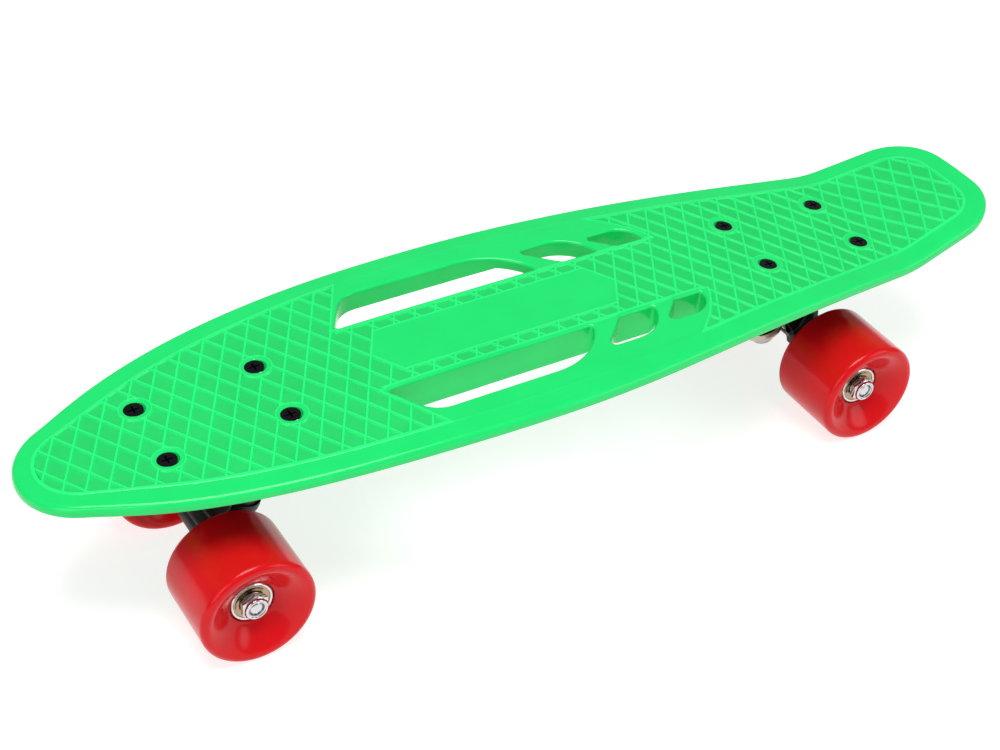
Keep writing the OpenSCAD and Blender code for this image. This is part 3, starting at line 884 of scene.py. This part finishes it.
def build_truck(end):
    ring, body, base = ring_frame(end), end + "_truck", "board"
    flip = turn(180, "X")
    cast_piece(end + "_hanger_casting", end + "_hanger", body)
    cast_piece(end + "_baseplate_casting", end + "_baseplate", base)
    along = truck_frame(end) @ turn(90, "X")
    axle = [(3.9, 0.0), (AXLE_R, 57.6)] + threaded_end(AXLE_R, 58.0, 71.0, 0.8)
    whole = [(r, -z) for r, z in axle[::-1]] + axle
    lathed(end + "_axle_rod", [whole], [CHROME], body, [end + "_axle"], along, angle=25)
    for name, r, z0, z1 in (("board", 12.0, 4.02, 17.1), ("road", 11.5, -15.1, -4.02)):
        mid = 0.5 * (z0 + z1)
        shape = corner(r - 0.3, z1, 1, 1, 1.2) + [(r, mid + 2.5), (r, mid - 2.5)]
        shape += corner(r - 0.3, z0, 1, -1, 1.2)[::-1] + corner(CUP_BORE, z0, -1, -1, 0.4)
        shape += corner(CUP_BORE, z1, -1, 1, 0.4)[::-1]
        lathed(end + "_" + name + "_cushion", [shape], [BUSHING], base, [end + "_" + name + "_bushing"],
               ring, angle=60)
    cup = [(CUP_BORE, 0.0), (11.6, 0.0), (12.7, 0.35), (13.35, 1.2), (13.4, 2.3), (13.15, 2.6),
           (12.6, 2.5), (12.3, 1.9), (11.7, 1.45), (11.0, CUP_THICK), (CUP_BORE, CUP_THICK)]
    deep_cup = [(CUP_BORE, 0.0), (9.6, 0.0), (11.6, 0.7), (12.7, 2.2), (13.0, 4.0), (13.0, 6.4),
                (12.75, 6.7), (12.5, 6.4), (12.3, 3.9), (11.7, 2.2), (11.0, CUP_THICK),
                (CUP_BORE, CUP_THICK)]
    lathed(end + "_board_cup", [[(r, 18.5 - z) for r, z in cup]], [ZINC], base,
           [end + "_board_washer"], ring)
    # At the front the cup's black paint is painted shade.
    lathed(end + "_road_cup", [[(r, -16.55 + z) for r, z in deep_cup]], [ROAD_CUP_LOOK_FRONT_SHADED[end]], base,
           [end + "_road_washer"], ring)
    lathed(end + "_kingpin_lock_nut", [lock_nut_profile(KINGPIN_NUT, 5.0, 5.0, 2.0)], [ZINC], base,
           [end + "_kingpin_nut"], ring @ shift(0, 0, -16.6) @ flip,
           across_flats=KINGPIN_NUT, angle=28)
    big = KINGPIN_NUT / math.sqrt(3)
    head = [(0.0, 31.35), (6.6, 31.35), (6.9, 31.3), (big, 30.75), (big, 26.8), (6.95, 26.35),
            (KINGPIN_R, 26.35), (KINGPIN_R, -8.0)]
    shank = [(r, -z) for r, z in threaded_end(KINGPIN_R, 8.4, 26.0, 1.0)]
    lathed(end + "_kingpin_bolt", [head + shank], [ZINC], base, [end + "_kingpin"], ring,
           across_flats=KINGPIN_NUT, angle=28)
    bm = bmesh.new()
    small = lock_nut_profile(SCREW_NUT, 2.5, 3.4, 1.6)
    for place in bolt_frames(end):
        lathe(bm, small, place @ shift(0, 0, -5) @ flip, segments=60, across_flats=SCREW_NUT)
    finish_piece(end + "_board_nuts", bm, [ZINC], base, [end + "_deck_nuts"], 28)


for end in ("front", "rear"):
    build_truck(end)
    for hand, side in (("left", 1), ("right", -1)):
        build_wheel(end, hand, side)

# pieces shown by their CAD solids, with a look for each kind
KEPT = {"deck_screws": BLACK_STEEL, "pivot_cup": NYLON, "ball_cages": CHROME, "spacer": ZINC}
for name, node in NODES.items():
    for key, look in KEPT.items():
        if name.endswith(key):
            node.data.materials.clear()
            node.data.materials.append(look)

# ---- floor, light and camera ----

floor_mesh = bpy.data.meshes.new("floor")
floor_mesh.from_pydata([(-6, -6, 0), (6, -6, 0), (6, 6, 0), (-6, 6, 0)], [], [(0, 1, 2, 3)])
floor = new_object("floor", floor_mesh)
floor_look = material("floor_white", (0.45, 0.45, 0.45), 0.8, mottling=0.004, ior=1.2)
floor_shader = floor_look.node_tree.nodes["Principled BSDF"]
floor_shader.inputs["Emission Color"].default_value = (1, 1, 1, 1)
floor_shader.inputs["Emission Strength"].default_value = 0.74
floor.data.materials.append(floor_look)


def area_light(name, place, size, power):
    """A white rectangular light aimed at the board."""
    data = bpy.data.lights.new(name, "AREA")
    data.shape = "RECTANGLE"
    data.size, data.size_y = size
    data.energy = power
    lamp = new_object(name, data)
    lamp.location = place
    aim = Vector((0, 0, 0.05)) - Vector(place)
    lamp.rotation_euler = aim.to_track_quat("-Z", "Y").to_euler()


area_light("overhead", (0.25, 0.35, 2.2), (1.4, 1.1), 48)
area_light("side", (1.6, 0.9, 0.9), (1.0, 1.2), 9)
area_light("left", (-1.3, 1.3, 0.8), (1.0, 1.0), 7)

world = bpy.data.worlds.new("studio")
bpy.context.scene.world = world
world.use_nodes = True
world.node_tree.nodes["Background"].inputs["Color"].default_value = (1, 1, 1, 1)
world.node_tree.nodes["Background"].inputs["Strength"].default_value = 0.35


CAMERA_ANGLES = (32.815, 37.765, 3.741)      # yaw, downward pitch and roll, in degrees
CAMERA_PLACE = (-446.4, -673.6, 681.3)       # from the floor below the deck's middle, before the half turn
CAMERA_LENS = 69.46


def place_camera():
    """Sets the camera, with its angles given for a board that is turned half round."""
    yaw, pitch, roll = (math.radians(a) for a in CAMERA_ANGLES)
    f = Vector((math.cos(pitch) * math.sin(yaw), math.cos(pitch) * math.cos(yaw), -math.sin(pitch)))
    r = Vector((math.cos(yaw), -math.sin(yaw), 0))
    u = r.cross(f)
    right = math.cos(roll) * r + math.sin(roll) * u
    up = -math.sin(roll) * r + math.cos(roll) * u
    half_turn = Matrix.Rotation(math.pi, 3, "Z")
    right, up, back = half_turn @ right, half_turn @ up, half_turn @ -f
    data = bpy.data.cameras.new("camera")
    data.sensor_width = 36.0
    data.lens = CAMERA_LENS
    data.clip_end = 50
    cam = new_object("camera", data)
    x, y, z = CAMERA_PLACE
    where = half_turn @ Vector((x - Q_SHIFT, y, z)) * MM
    cam.matrix_world = Matrix((
        (right.x, up.x, back.x, where.x),
        (right.y, up.y, back.y, where.y),
        (right.z, up.z, back.z, where.z),
        (0, 0, 0, 1)))
    bpy.context.scene.camera = cam


place_camera()
bpy.context.scene.view_settings.view_transform = "Standard"
